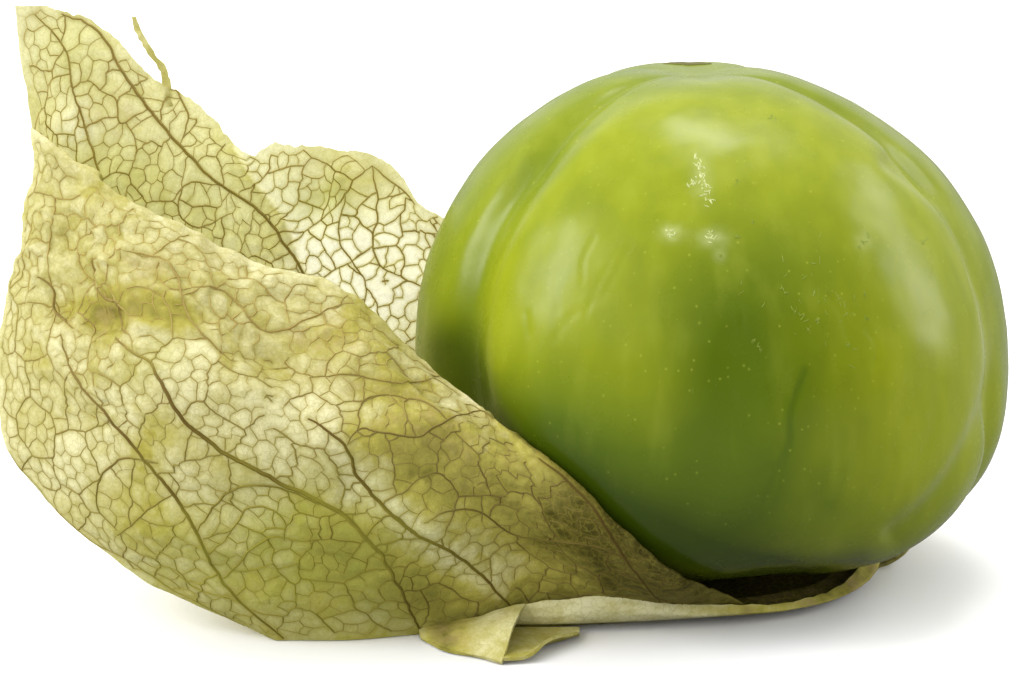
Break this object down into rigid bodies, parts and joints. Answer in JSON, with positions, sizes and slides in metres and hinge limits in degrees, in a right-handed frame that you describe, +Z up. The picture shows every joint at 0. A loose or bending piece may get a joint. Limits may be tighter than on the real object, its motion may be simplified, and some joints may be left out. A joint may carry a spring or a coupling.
{
  "type": "tomatillo",
  "caption": "Ripe green tomatillo, a glossy lobed berry resting on its opened, torn papery husk with raised veins.",
  "frame": {"origin": "on the surface that the husk lies on, under the middle of the berry", "axes": "+Z up; +X along the whole, from the husk's tall tip towards the berry; +Y to the back"},
  "size_m": [0.0807, 0.0512, 0.0473],
  "materials": {
    "berry_skin": "glossy waxy skin, bright yellow-green",
    "husk_paper": "dry veined paper, pale straw green"
  },
  "bodies": {
    "root": {"fruit": "berry_skin", "husk": "husk_paper"}
  },
  "joints": []
}
